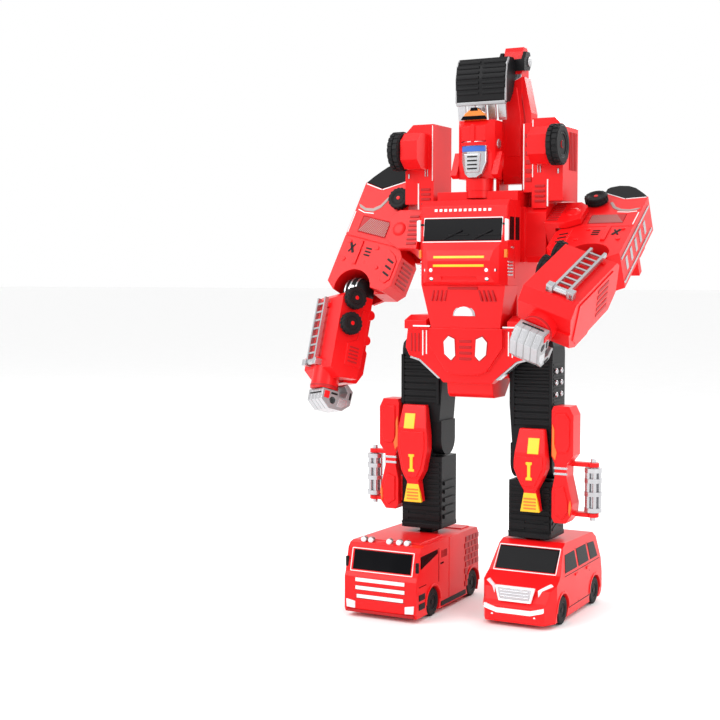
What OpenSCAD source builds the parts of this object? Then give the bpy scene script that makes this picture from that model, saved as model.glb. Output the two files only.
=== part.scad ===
/* [Placing] */
// Shift that centres the whole robot's box in X
place_x = 8.28; // [-40:0.01:40]
// Shift that centres the whole robot's box in Y
place_y = 12.65; // [-60:0.01:60]

/* [Legs] */
// Centre of each leg from the middle plane
leg_x = 41; // [40:0.5:43]
// Height of the hip axis
hip_z = 180; // [178:0.5:182]
// Height of the left knee axis
knee_left_z = 118; // [112:1:124]
// Height of the right knee axis
knee_right_z = 106; // [102:1:112]
// Height of the ankle axis
ankle_z = 43; // [42:0.5:44]
// Radius of the foot wheels
foot_wheel_r = 9.7; // [9:0.1:10]

/* [Arms] */
// Shoulder pivot from the middle plane
shoulder_x = 64; // [64:0.5:68]
// Height of the shoulder pivot
shoulder_z = 261.5; // [260:0.5:263]
// Forward swing of the left arm
swing_left = 19; // [0:1:40]
// Forward swing of the right arm
swing_right = 60; // [0:1:70]
// Outward tilt of the left arm
tilt_left = 14; // [0:1:16]
// Outward tilt of the right arm
tilt_right = 1; // [0:1:16]
// Inward bend of the elbows
elbow_bend = 13; // [0:1:20]
// Turn of the left forearm about its own length
turn_left = 60; // [40:1:80]
// Turn of the right forearm about its own length
turn_right = 74; // [40:1:80]

/* [Torso] */
// Half width of the cab chest
cab_half = 32; // [30:0.5:32]
// Height of the cab roof
cab_top = 285; // [283:0.5:286]
// Height of the shoulder towers
tower_top = 341; // [338:0.5:344]
// Radius of the wheels on the towers
tower_wheel_r = 13.8; // [12:0.1:14]

/* [Boom] */
// Height of the tip of the boom
boom_top = 393; // [388:0.5:396]
// Width of the bucket
bucket_w = 37; // [34:0.5:38]

/* [Hidden] */
$fn = 48;
shaft_gap = 0.05;               // radial clearance of every shaft in its bore
hip_y = 9.5;                    // hip, knee and ankle axes lie in one plane
shoulder_y = 23;
leg_half = 15.5;                // half width of a thigh or shin
leg_front = -3;
leg_back = 22;
shin_foot_z = 54;
tower_wheel_y = -3.5;
tower_wheel_z = 321.6;
head_y = 3;                     // axis of the neck
boom_y = 29;
boom_hinge_z = 303;
bucket_hinge_z = 383;
arm_thick = 26;                 // thickness of an upper arm
arm_pivot = [44.4, 13, -29.5];  // shoulder pivot in the arm's own frame
elbow = [22, 11.5, -80];        // elbow ball in the arm's own frame
fore_pivot = [20.2, 14, 0];     // elbow ball in the forearm's own frame
ball_r = 11.5;
left_wrist_x = 8;                // wrist axes in the forearms' own frames
right_wrist_x = 20;
wrist_y = 18;
wrist_z = -76;                   // end of the round wrist block
truck_x = -44;
suv_x = 44;

// ---------- helpers ----------

module placed() translate([place_x, place_y, 0]) children();

// Parts are drawn for the left side, x < 0, and mirrored for the right, s = 1
module on_side(s) mirror([s > 0 ? 1 : 0, 0, 0]) children();

module block(low, high) translate(low) cube(high - low);

module rod_x(r, x0, x1, y, z) translate([x0, y, z]) rotate([0, 90, 0]) cylinder(r = r, h = x1 - x0);

module rod_y(r, y0, y1, x, z) translate([x, y1, z]) rotate([90, 0, 0]) cylinder(r = r, h = y1 - y0);

module rod_z(r, z0, z1, x, y) translate([x, y, z0]) cylinder(r = r, h = z1 - z0);

// Profile in Y and Z, thick along X
module side_plate(points, x0, x1)
    translate([x0, 0, 0]) rotate([90, 0, 90]) linear_extrude(x1 - x0) polygon(points);

// Profile in X and Z, thick along Y
module front_plate(points, y0, y1)
    translate([0, y1, 0]) rotate([90, 0, 0]) linear_extrude(y1 - y0) polygon(points);

// Profile in X and Y, thick along Z
module floor_plate(points, z0, z1) translate([0, 0, z0]) linear_extrude(z1 - z0) polygon(points);

// A tyre and rim turned about X, with rounded shoulders
module wheel_x(r, x0, x1, y, z, bore) {
    shoulder = r * 0.12;
    dish = (x1 - x0) * 0.16;
    translate([x0, y, z]) rotate([0, 90, 0]) rotate_extrude()
        polygon([[bore, dish], [r * 0.62, dish], [r * 0.68, 0], [r - shoulder, 0], [r, shoulder],
            [r, x1 - x0 - shoulder], [r - shoulder, x1 - x0], [r * 0.68, x1 - x0],
            [r * 0.62, x1 - x0 - dish], [bore, x1 - x0 - dish]]);
}

function mirror_x(points) = concat(points, [for (i = [len(points) - 1:-1:0]) [-points[i][0], points[i][1]]]);

// ---------- torso ----------

module tower(s) on_side(s) {
    outer = -59.2;
    inner = -37;
    difference() {
        front_plate([[outer, 300], [inner, 300], [inner, tower_top], [outer + 6, tower_top], [outer, tower_top - 6]],
            6.3, 37);
        rod_x(tower_wheel_r + 1, -66, -54.2, tower_wheel_y, tower_wheel_z);
    }
    block([outer, 6.3, 284.8], [inner, 37, 300]);
    block([-47.6, 6.3, 280], [inner, 37, 286]);
    // boss and stub axle of the tower wheel
    side_plate([[7, 309], [7, 334], [-6, 334], [-13, 328], [-13, 315], [-6, 309]], -54, -41);
    rod_x(2.5, -62.5, -50, tower_wheel_y, tower_wheel_z);
}

module shoulder_socket(s) on_side(s) difference() {
    side_plate([[6, 247], [10, 243], [38, 243], [38, 281], [10, 281], [6, 277]], -47.6, -30);
    rod_x(9 + shaft_gap, -48, -37, shoulder_y, shoulder_z);
}

module torso_frame() color("red") placed() {
    difference() {
        union() {
            block([-30, -2, 198], [30, 34, 292]);
            block([-33, 4, 243], [33, 34, 281]);
        }
        block([-25, 3, 203], [25, 35, 286]);
        // speaker seat and switch slot
        rod_z(9 + shaft_gap, 287, 293, 0, head_y);
    }
    for (s = [-1, 1]) {
        tower(s);
        shoulder_socket(s);
    }
    // boom hinge cheeks and the plate beside the head
    for (x = [5, 24.4]) side_plate([[20, 291], [37, 291], [37, 306], [34, 311], [24, 311], [20, 306]], x, x + 2.6);
    rod_x(3, 5, 27, boom_y, boom_hinge_z);
    block([30.2, 8, 291], [37, 34, 338]);
    block([5, 20, 290], [37, 37, 293.4]);
    block([-37, 20, 281], [37, 34, 290]);
}

module cab_profile()
    side_plate([[-2, 227.3], [-27, 227.3], [-31.5, 229.5], [-33.5, 234], [-33.5, 244], [-32, 251],
        [-27.5, 258], [-25.5, 271], [-24.5, 281], [-21, cab_top], [-2, cab_top]], -cab_half, cab_half);

module cab_shell() color("red") placed() difference() {
    intersection() {
        cab_profile();
        floor_plate(mirror_x([[-cab_half, 0], [-cab_half, -24], [-cab_half + 4, -30], [-cab_half + 9, -33.4],
            [-18, -40]]), 220, 290);
    }
    // seat of the windscreen, dark slot and door grooves
    side_plate([[-40, 257.4], [-26.4, 257.4], [-24.9, 272.4], [-40, 272.4]], -28.7, 28.7);
    block([-13, -40, 230.8], [13, -31.6, 233.4]);
    for (s = [-1, 1]) block([s * cab_half - 0.6, -12.4, 232], [s * cab_half + 0.6, -11.6, 280]);
    // hollow cab
    block([-28, -21, 231], [28, -1, 281]);
}

module cab_windscreen() color("black") placed()
    side_plate([[-28, 257.4], [-26.4, 257.4], [-24.9, 272.4], [-26, 272.4]], -28.7, 28.7);

module belly_panel() color("red") placed() difference() {
    front_plate(mirror_x([[-31, 227.3], [-25.6, 198]]), -26, -2);
    // front face leans back towards the waist
    translate([0, -26, 227]) rotate([9, 0, 0]) block([-40, -20, -40], [40, 0, 10]);
    // room for the speaker
    rod_y(14.2, -16, 0, 0, 213);
}

module back_cover() color("red") placed() difference() {
    union() {
        block([-30, 34, 198], [30, 37.6, 290]);
        for (x = [-24, -16, 16, 24]) block([x - 1.5, 37, 244], [x + 1.5, 39.4, 286]);
    }
    block([-26, 33, 203], [26, 41, 235]);
    block([-7.2, 33, 238.6], [7.2, 41, 245.6]);
    for (x = [-27.4, 27.4], z = [240, 286]) rod_y(1.6, 33, 41, x, z);
}

module case_screws() color("silver") placed() {
    for (x = [-27.4, 27.4], z = [240, 286]) {
        rod_y(1.55, 34.2, 37.8, x, z);
        rod_y(2.4, 37.6, 38.6, x, z);
    }
}

// Four wrapped cells on a tray
module battery_pack() color("royalblue") placed() {
    for (y = [11, 24.8], z = [211, 224.8]) rod_x(7, -24.5, 24.5, y, z);
    block([-20, 5, 203], [20, 31, 206]);
}

module battery_door() color("darkred") placed() {
    block([-26, 34, 203], [26, 38, 235]);
    for (z = [209, 214, 219, 224]) block([-12, 38, z], [12, 38.8, z + 2]);
    rod_y(2.4, 38, 38.8, 0, 231);
}

module circuit_board() color("green") placed() {
    block([-23, 5, 236], [23, 6.6, 280]);
    for (x = [-20, 20], z = [239, 277]) rod_y(2, 3, 5, x, z);
    block([-8, 6.6, 250], [8, 9.6, 266]);
    block([10, 6.6, 262], [20, 11, 270]);
}

module speaker() color("dimgray") placed() {
    rod_y(14, -5, -2, 0, 213);
    rod_y(8, -10, -5, 0, 213);
}

module power_switch() color("black") placed() {
    block([-6.6, 34.6, 239], [2.2, 37.2, 245.2]);
    block([-3.8, 37.2, 240.2], [-0.6, 39.6, 244]);
}

module tower_wheel(s) color("black") placed() on_side(s)
    wheel_x(tower_wheel_r, -62.9, -54.6, tower_wheel_y, tower_wheel_z, 2.5 + shaft_gap);

module pelvis_shell() color("red") placed() difference() {
    union() {
        // hip bar over the thighs
        side_plate([[-20, 197], [-9, 197], [-9, 194.6], [20, 194.6], [24, 198], [24, 203], [18, 206.5],
            [-10, 206.5], [-20, 203]], -47, 47);
        // front skirt with its slanted lower corners
        front_plate(mirror_x([[-45, 200], [-47, 184], [-44, 178], [-36, 176], [-21, 163.5], [-18, 160]]),
            -18, -9);
        front_plate(mirror_x([[-27, 200], [-27, 185], [-15, 168], [-8, 166]]), -21, -17);
        // middle block between the thighs
        side_plate([[-19, 197], [-15, 168], [-12, 152], [-9, 149.6], [10, 149.6], [20, 160], [22, 170], [22, 197]],
            -17, 17);
        side_plate([[-16, 197], [-12, 170], [-2, 163], [18, 163], [22, 170], [22, 197]], -25, 25);
        block([-30, 20, 190], [30, 34, 198]);
        for (s = [-1, 1]) on_side(s) rod_x(8, -38, -24, hip_y, hip_z);
    }
    // room for the belly above
    block([-30, -30, 198], [30, 40, 210]);
    // gearbox bay
    block([-15, -8, 166], [15, 18, 195]);
}

module transform_gearbox() color("gray") placed() {
    block([-13, -5, 168.4], [13, 14, 190]);
    rod_z(8, 190, 193, 0, 5);
}

// ---------- head ----------

module head_helmet() color("red") placed() {
    difference() {
        intersection() {
            side_plate([[-9.4, 326], [-9.4, 336], [-5, 340.5], [10, 340.5], [15.6, 336], [15.6, 306],
                [12, 300.6], [-3, 300.6], [-5, 306], [-5, 318]], -13.4, 13.4);
            floor_plate(mirror_x([[-13.4, 11], [-13.4, -3], [-8.5, -9.5], [0, -9.5]]), 290, 345);
        }
        block([-9.2, -10, 299], [9.2, -4.6, 326]);
    }
    rod_z(9.6, 292.4, 300.6, 0, head_y);
    rod_z(9, 287.4, 292.4, 0, head_y);
    // ear fins
    for (s = [-1, 1]) on_side(s)
        side_plate([[-8, 303], [-4, 300.8], [3, 309], [4, 318], [0, 319], [-5, 309]], -17.6, -13);
}

module face_plate() color("silver") placed() intersection() {
    front_plate(mirror_x([[-9.2, 326], [-9.2, 312], [-6.4, 303.5], [-3, 300.9]]), -10.4, -4.6);
    floor_plate(mirror_x([[-9.2, -4.6], [-9.2, -7.4], [-4, -10.4]]), 300, 327);
}

module head_crest() color("orange") placed() intersection() {
    front_plate(mirror_x([[-10, 340.5], [-7, 345], [-2.5, 348.4]]), -8, 0);
    floor_plate(mirror_x([[-6, 0], [-10, -8]]), 340, 350);
    // the back of the crest slopes clear of the scoop's teeth
    side_plate([[-8, 340], [-8, 348.4], [-5, 348.4], [-0.5, 342], [-0.5, 340]], -10, 10);
}

// ---------- boom and bucket ----------

module boom_arm() color("red") placed() difference() {
    union() {
        side_plate([[24, 298], [34, 298], [36.4, 303], [36.4, 352], [35.5, boom_top - 4], [32, boom_top],
            [26, boom_top], [24.4, 390], [22.6, 374], [22.6, 303]], 9.2, 22.8);
        side_plate([[23.4, 306], [35.6, 306], [35.6, 349], [23.4, 346]], 8, 24);
        front_plate([[8, 314], [24, 314], [29.8, 318], [29.8, 347], [24.4, 372], [9.2, 372], [8, 349]], 23.4, 35.4);
    }
    rod_x(3 + shaft_gap, 0, 40, boom_y, boom_hinge_z);
    rod_x(2.5 + shaft_gap, 0, 40, boom_y, bucket_hinge_z);
}

module bucket_shell() color("dimgray") placed() {
    half = bucket_w / 2;
    outer = [[21.4, 372], [21.6, 381], [18, 385], [9, 384.6], [4.6, 379], [2.6, 370], [3.2, 355], [4.4, 353]];
    inner = [[6.8, 353], [5.6, 356], [5.2, 370], [7, 377.6], [10.4, 381.8], [17.4, 382.2], [19, 379.6], [18.8, 372]];
    side_plate(concat(outer, inner), -half, half);
    // cheeks close the ends of the scoop
    for (x = [-half, half - 2]) side_plate([[21.4, 372], [21.6, 381], [18, 385], [9, 384.6], [4.6, 379],
        [2.6, 370], [3.2, 355], [4.4, 353], [12, 354], [18, 362]], x, x + 2);
    // hinge lugs on both sides of the boom, and their pin
    for (x = [6.2, 23.3]) side_plate([[20, 376], [30, 377], [34, 383], [30, 389.5], [24, 389.5], [20, 384]], x, x + 2.5);
    block([17, 19.6, 376], [25.8, 21.6, 384]);
    rod_x(2.5, 6.2, 25.8, boom_y, bucket_hinge_z);
}

module bucket_teeth() color("white") placed() for (i = [0:4]) {
    x = -bucket_w / 2 + 0.6 + i * (bucket_w - 7) / 4;
    side_plate([[4.4, 353], [6.8, 353], [8.6, 343], [7.6, 341], [6.4, 343]], x, x + 5.8);
}

// ---------- arms ----------
// An arm's own frame hangs straight down: X towards the body, Y back, Z up, with
// its outer top corner at the origin. Left arm is drawn, right arm is mirrored.

function swing(s) = s < 0 ? swing_left : swing_right;
function tilt(s) = s < 0 ? tilt_left : tilt_right;
function turn(s) = s < 0 ? turn_left : turn_right;

module yoke_frame(s) on_side(s) translate([-shoulder_x, shoulder_y, shoulder_z])
    rotate([-swing(s), 0, 0]) children();

module arm_frame(s) yoke_frame(s) rotate([0, tilt(s), 0]) translate(-arm_pivot) children();

module ball_frame(s) arm_frame(s) translate(elbow) rotate([0, -elbow_bend, 0]) children();

module fore_frame(s) ball_frame(s) rotate([0, 0, turn(s)]) translate(-fore_pivot) children();

module shoulder_yoke(s) color("red") placed() yoke_frame(s) {
    ear = [[-2, 14.5], [-8, 9], [-8, -9], [1, -15], [16, -15], [16, 14.5]];
    front_plate(ear, -18, -13.6);
    front_plate(ear, 13.6, 17);
    block([8.8, -18, -15], [16, 17, 14.5]);
    rod_y(4, -14, 14, 0, 0);
    rod_x(9, 15, 26, 0, 0);
}

module upper_arm(s) color("red") placed() arm_frame(s) {
    difference() {
        union() {
            front_plate([[0, 0], [15.2, -2], [33, 8], [37, 7], [38, 1], [43, -14], [44, -38], [47.5, -41],
                [52, -48], [52, -70], [47, -75.5], [37, -78], [30, -83], [7, -84], [0, -79]], 0, arm_thick);
            rod_y(7.8, 0, arm_thick, arm_pivot[0], arm_pivot[2]);
            // hook on the back
            block([3, arm_thick, -28], [17, arm_thick + 6, -15]);
            block([6.5, arm_thick + 6, -25], [12.5, arm_thick + 22, -19]);
        }
        // elbow opening, its closed back and the seats of the shafts
        translate([elbow[0], 0, elbow[2]]) rotate([90, 0, 0])
            translate([0, 0, -23.2]) cylinder(r = ball_r + 3.3, h = 30);
        rod_y(4 + shaft_gap, -1, arm_thick + 1, arm_pivot[0], arm_pivot[2]);
        rod_y(2 + shaft_gap, -1, 11, 34.2, -7.3);
        // relief for the wheel of a bent forearm
        block([34, -1, -90], [60, 7.5, -75.5]);
        // shallow panels on the side
        block([8.5, -1, -37.8], [33, 0.8, -24.8]);
        block([0, -1, -42.4], [46, 0.5, -41.8]);
    }
    rod_y(3, 4, 24, elbow[0], elbow[2]);
}

module arm_windscreen(s) color("black") placed() arm_frame(s)
    front_plate([[0, 0], [4, 5.6], [8.5, 11], [12.4, 15.4], [17.5, 18.6], [25, 19.6], [31, 17.6], [33, 15],
        [33, 8], [15.2, -2]], 0.3, arm_thick - 0.3);

// Wheel turned about Y with its stub shaft, front face at y0
module side_wheel(r, y0, y1, x, z, depth) translate([x, 0, z]) rotate([0, 0, 90]) {
    wheel_x(r, y0, y1, 0, 0, 2);
    rod_x(2, y0 + 0.8, depth, 0, 0);
}

module arm_wheel(s) color("black") placed() arm_frame(s) side_wheel(8, -6, -0.6, 34.2, -7.3, 10);

module elbow_ball(s) color("dimgray") placed() ball_frame(s) {
    difference() {
        sphere(r = ball_r);
        rod_y(3 + shaft_gap, -20, 20, 0, 0);
    }
    // the forearm turns on this shaft
    difference() {
        rod_z(5, -22, -4, 0, 0);
        rod_y(3 + shaft_gap, -20, 20, 0, 0);
    }
}

module forearm(s) color("red") placed() fore_frame(s) {
    difference() {
        union() {
            front_plate([[0, -9], [4, -5.2], [25, -5.2], [25, -40], [23, -66], [8, -68], [0, -62]], 0, 37);
            front_plate([[20, -5.2], [26, -6.2], [34, -14], [34, -40], [35.5, -42], [35.5, -58], [31, -66], [20, -68]],
                13, 37);
            // catches beside the wheels
            for (z = [-17, -36]) rod_y(3.6, 1, 9, 26, z);
            // round wrist block
            rod_z(10, wrist_z, -60.3, wrist_x(s), wrist_y);
            // ladder hinge lugs
            for (y = [14.4, 30.4]) block([-3.8, y, -60], [1, y + 2, -54.5]);
            rod_y(1.2, 14.4, 32.4, -2.2, -57);
            block([-1.4, 16, -16], [1, 31, -13]);
        }
        translate(fore_pivot) sphere(r = ball_r + 0.35);
        rod_z(5 + shaft_gap, -22.6, 0, fore_pivot[0], fore_pivot[1]);
        for (z = [-9.5, -28.5]) rod_y(2 + shaft_gap, -1, 10, 8.4, z);
        rod_z(4 + shaft_gap, wrist_z - 1, wrist_z + 12, wrist_x(s), wrist_y);
        // outer edge of the roof is cut where it meets the elbow
        translate([0, 26, -4]) rotate([35, 0, 0]) block([-2, 0, -2], [40, 30, 20]);
    }
}

module fore_wheel(s, z) color("black") placed() fore_frame(s) side_wheel(8.2, -6, -0.6, 8.4, z, 9);

module ladder(s) color("silver") placed() fore_frame(s) {
    for (y = [17.6, 27.4]) difference() {
        block([-4.4, y, -58.6], [-1.6, y + 1.8, -9]);
        rod_y(1.2 + shaft_gap, 0, 40, -2.2, -57);
    }
    for (i = [0:6]) block([-4, 17.6, -14.4 - i * 6.2], [-2.8, 29.2, -13 - i * 6.2]);
    difference() {
        rod_y(2.2, 19, 28, -2.2, -57);
        rod_y(1.2 + shaft_gap, 0, 40, -2.2, -57);
    }
}

function wrist_x(s) = s < 0 ? left_wrist_x : right_wrist_x;

module fist(s) color("silver") placed() fore_frame(s) translate([wrist_x(s), 0, 0]) {
    difference() {
        front_plate([[-6, -76.6], [-6, -84.4], [1, -90], [12, -89.6], [18, -84.4], [18.6, -74], [13, -69.4],
            [11, -71.6], [14.4, -75.5], [13.4, -80], [7.6, -80], [7.4, -76.6]], 8, 28);
        rod_y(2.5, 7, 29, 3, -83.8);
    }
    rod_z(4, -77.2, wrist_z + 11.5, 0, wrist_y);
}

// ---------- legs ----------

function knee_z(s) = s < 0 ? knee_left_z : knee_right_z;
function foot_x(s) = s * leg_x;

module thigh(s) color([0.13, 0.13, 0.14]) placed() on_side(s) difference() {
    out = -leg_x - leg_half;
    in = -leg_x + leg_half;
    knee = knee_z(s);
    union() {
        intersection() {
            union() {
                rod_x(12.5, out, in, hip_y, hip_z);
                block([out, leg_front, knee + 12], [in, leg_back, hip_z]);
            }
            front_plate([[out, knee], [out, hip_z + 6], [out + 7, hip_z + 20], [in, hip_z + 20], [in, knee + 40],
                [in - 3, knee]], -10, 40);
        }
        // two cheeks hold the knee pin
        for (x = [out, -leg_x + 6.6]) {
            rod_x(12, x, x + 8.2, hip_y, knee);
            block([x, leg_front + 0.6, knee], [x + 8.2, leg_back - 0.6, knee + 13]);
        }
        rod_x(3, out, in - 0.7, hip_y, knee);
        // ribs on the front
        for (i = [0:6]) block([out + 1, leg_front - 1, knee + 27 + i * 4.6], [in - 4, leg_front, knee + 29 + i * 4.6]);
    }
    rod_x(8 + shaft_gap, -leg_x - 1, 0, hip_y, hip_z);
}

module shin(s) color([0.13, 0.13, 0.14]) placed() on_side(s) {
    out = -leg_x - leg_half;
    in = -leg_x + leg_half;
    knee = knee_z(s);
    difference() {
        union() {
            block([out, leg_front, shin_foot_z + 3], [in, leg_back, knee - 12.6]);
            front_plate([[out + 2, shin_foot_z], [out, shin_foot_z + 4], [in, shin_foot_z + 4], [in - 2, shin_foot_z]],
                leg_front - 2, leg_back);
            // tongue of the knee
            rod_x(11.5, -leg_x - 6.9, -leg_x + 6.3, hip_y, knee);
            block([-leg_x - 6.9, leg_front, knee - 14], [-leg_x + 6.3, leg_back, knee - 1]);
            // ribs below the shield and on the inner side
            for (z = [61, 67]) block([out + 1, leg_front - 1.2, z], [in - 1, leg_front, z + 2.8]);
            for (z = [61:6:85]) block([in, leg_front + 3, z], [in + 1.2, leg_back - 3, z + 2.8]);
        }
        rod_x(3 + shaft_gap, out - 1, in + 1, hip_y, knee);
    }
    // tongue of the ankle
    difference() {
        union() {
            block([-leg_x - 5, hip_y - 5, ankle_z], [-leg_x + 5, hip_y + 5, shin_foot_z + 1]);
            rod_x(5, -leg_x - 5, -leg_x + 5, hip_y, ankle_z);
        }
        rod_x(2 + shaft_gap, -leg_x - 6, -leg_x + 6, hip_y, ankle_z);
    }
}

module knee_shield(s) color("red") placed() on_side(s) {
    top = s < 0 ? 142.5 : 130;
    cx = -44.2;
    bottom = 73.5;
    waist = 88;
    wide = s < 0 ? 111 : 103;   // lowest level of the full width
    difference() {
        front_plate([[cx - 9, top], [cx - 11.6, top - 22], [cx - 11.6, wide], [cx - 8.6, waist + 8],
            [cx - 4.4, waist], [cx - 6.6, bottom], [cx + 6.6, bottom], [cx + 4.4, waist], [cx + 8.6, waist + 8],
            [cx + 11.6, wide], [cx + 11.6, top - 22], [cx + 9, top]], -13, -4.4);
        // crowned front: the upper and lower ends slope back
        translate([cx, -13, top - 16]) rotate([-14, 0, 0]) block([-20, -10, 0], [20, 0, 40]);
        translate([cx, -13, waist + 4]) rotate([12, 0, 0]) block([-20, -10, -40], [20, 0, 0]);
    }
    block([cx - 4, -4.6, waist - 9], [cx + 4, leg_front, waist + 4]);
}

module side_pod(s) color("red") placed() on_side(s) {
    front_plate([[-59, 146], [-57.6, 143], [-57.6, 112], [-60, 107], [-60, 98], [-58, 88], [-58, 70], [-60, 66.5],
        [-68, 66.5], [-72, 72], [-72.6, 80], [-68.4, 98], [-68.6, 107], [-73, 113], [-73, 140], [-70, 146]], -7, 8);
    block([-59, -2, 72], [-leg_x - leg_half, 6, 90]);
    // brackets of the blaster
    for (z = [70.4, 104.6]) difference() {
        union() {
            block([-83, 3, z], [-66, 9, z + 3]);
            rod_z(4, z, z + 3, -83, 6);
        }
        rod_z(1.8 + shaft_gap, z - 1, z + 4, -83, 6);
    }
}

module blaster(s) color("silver") placed() on_side(s) {
    rod_z(1.8, 68, 110, -83, 6);
    rod_z(3.2, 73.8, 104.2, -83, 6);
    for (z = [74, 85, 94, 101]) rod_z(6, z, z + 3, -83, 6);
    for (i = [0:5]) rod_z(1.4, 75, 103, -83 + 4.4 * cos(60 * i), 6 + 4.4 * sin(60 * i));
}

// ---------- feet ----------

// Arches, axle bore, hollow inside and ankle slot of a foot vehicle
module foot_cuts(cx, half, axles, cavity_y0, cavity_y1) {
    for (y = axles) {
        for (x = [cx - half - 1, cx + half - 9]) rod_x(foot_wheel_r + 1.3, x, x + 10, y, foot_wheel_r);
        rod_x(1.5 + shaft_gap, cx - half, cx + half, y, foot_wheel_r);
    }
    // hollow between the axles, and the slot of the ankle above it
    block([cx - half + 12, cavity_y0, -1], [cx + half - 12, cavity_y1, 30]);
    leg = cx < 0 ? -leg_x : leg_x;
    block([leg - 5.6, hip_y - 9, 36], [leg + 5.6, hip_y + 9, 60]);
}

module ankle_pin(leg) rod_x(2, leg - 8, leg + 8, hip_y, ankle_z);

module truck_body() color("red") placed() {
    half = 27.3;
    difference() {
        side_plate([[-61.5, 3], [-62.8, 6], [-62.8, 28], [-61.4, 31], [-57.2, 47], [-54.4, 50], [-50, 51],
            [40, 49.6], [42.5, 46], [44, 10], [42, 3]], truck_x - half, truck_x + half);
        foot_cuts(truck_x, half, [-35.8, 32], -18, 18);
        // seats of the windscreen and side windows
        side_plate([[-66, 32.7], [-60, 32.7], [-56.8, 45.8], [-66, 45.8]], truck_x - 22.1, truck_x + 22.1);
        for (s = [-1, 1]) translate([truck_x + s * half, 0, 0])
            side_plate([[-55.8, 35.2], [-55.8, 44.4], [-28, 45], [-28, 42]], -0.7, 0.7);
        // shoulders of the rear deck
        block([truck_x - half - 1, -9.8, -1], [truck_x - half + 0.5, -8.8, 60]);
        block([truck_x + half - 0.5, -9.8, -1], [truck_x + half + 1, -8.8, 60]);
    }
    ankle_pin(-leg_x);
}

module truck_windscreen() color("black") placed()
    side_plate([[-61, 32.7], [-60, 32.7], [-56.8, 45.8], [-57.8, 45.8]], truck_x - 22.1, truck_x + 22.1);

module suv_body() color("red") placed() {
    half = 26.2;
    difference() {
        intersection() {
            side_plate([[-39, 3], [-41, 7], [-39.5, 14], [-36.5, 17], [-33.5, 25], [-20.6, 33.4], [-8.4, 50.2],
                [-3, 52.6], [54, 51], [60, 47], [63.4, 33], [66.6, 20], [66.6, 6], [64, 3]],
                suv_x - half, suv_x + half);
            front_plate([for (p = mirror_x([[-half + 1, 0], [-half, 10], [-half, 31], [-half + 3.6, 53]]))
                [suv_x + p[0], p[1]]], -50, 70);
            floor_plate([for (p = mirror_x([[-half, 70], [-half, -28], [-half + 5, -38], [-half + 12, -42]]))
                [suv_x + p[0], p[1]]], 0, 60);
        }
        foot_cuts(suv_x, half, [-16, 50.5], 2, 34);
        // seat of the windscreen
        side_plate([[-28, 34.8], [-18.8, 34.8], [-8.9, 48.6], [-28, 48.6]], suv_x - 21.4, suv_x + 21.4);
    }
    ankle_pin(leg_x);
}

module suv_windscreen() color("black") placed()
    side_plate([[-20.2, 34.8], [-18.8, 34.8], [-8.9, 48.6], [-10.2, 48.6]], suv_x - 21.4, suv_x + 21.4);

module foot_axle(cx, half, y) color([0.1, 0.1, 0.1]) placed() {
    rod_x(1.5, cx - half + 2, cx + half - 2, y, foot_wheel_r);
    for (x = [cx - half + 0.3, cx + half - 8.3]) wheel_x(foot_wheel_r, x, x + 8, y, foot_wheel_r, 1.4);
}

// ---------- nodes ----------

torso_frame();
cab_shell();
cab_windscreen();
belly_panel();
back_cover();
battery_pack();
battery_door();
circuit_board();
speaker();
case_screws();
power_switch();
head_helmet();
face_plate();
head_crest();
boom_arm();
bucket_shell();
bucket_teeth();
tower_wheel(-1);  // tower_wheel_left
tower_wheel(1);  // tower_wheel_right
pelvis_shell();
transform_gearbox();
shoulder_yoke(-1);  // shoulder_yoke_left
shoulder_yoke(1);  // shoulder_yoke_right
upper_arm(-1);  // upper_arm_left
upper_arm(1);  // upper_arm_right
arm_windscreen(-1);  // arm_windscreen_left
arm_windscreen(1);  // arm_windscreen_right
arm_wheel(-1);  // arm_wheel_left
arm_wheel(1);  // arm_wheel_right
elbow_ball(-1);  // elbow_ball_left
elbow_ball(1);  // elbow_ball_right
forearm(-1);  // forearm_left
forearm(1);  // forearm_right
ladder(-1);  // ladder_left
ladder(1);  // ladder_right
fore_wheel(-1, -9.5);  // fore_wheel_upper_left
fore_wheel(1, -9.5);  // fore_wheel_upper_right
fore_wheel(-1, -28.5);  // fore_wheel_lower_left
fore_wheel(1, -28.5);  // fore_wheel_lower_right
fist(-1);  // fist_left
fist(1);  // fist_right
thigh(-1);  // thigh_left
thigh(1);  // thigh_right
shin(-1);  // shin_left
shin(1);  // shin_right
knee_shield(-1);  // knee_shield_left
knee_shield(1);  // knee_shield_right
side_pod(-1);  // side_pod_left
side_pod(1);  // side_pod_right
blaster(-1);  // blaster_left
blaster(1);  // blaster_right
truck_body();
truck_windscreen();
foot_axle(truck_x, 27.3, -35.8);  // truck_front_axle
foot_axle(truck_x, 27.3, 32);  // truck_rear_axle
suv_body();
suv_windscreen();
foot_axle(suv_x, 26.2, -16);  // suv_front_axle
foot_axle(suv_x, 26.2, 50.5);  // suv_rear_axle
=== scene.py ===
from math import cos, pi, radians, sin

import bmesh
import bpy
from mathutils import Matrix, Vector


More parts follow.
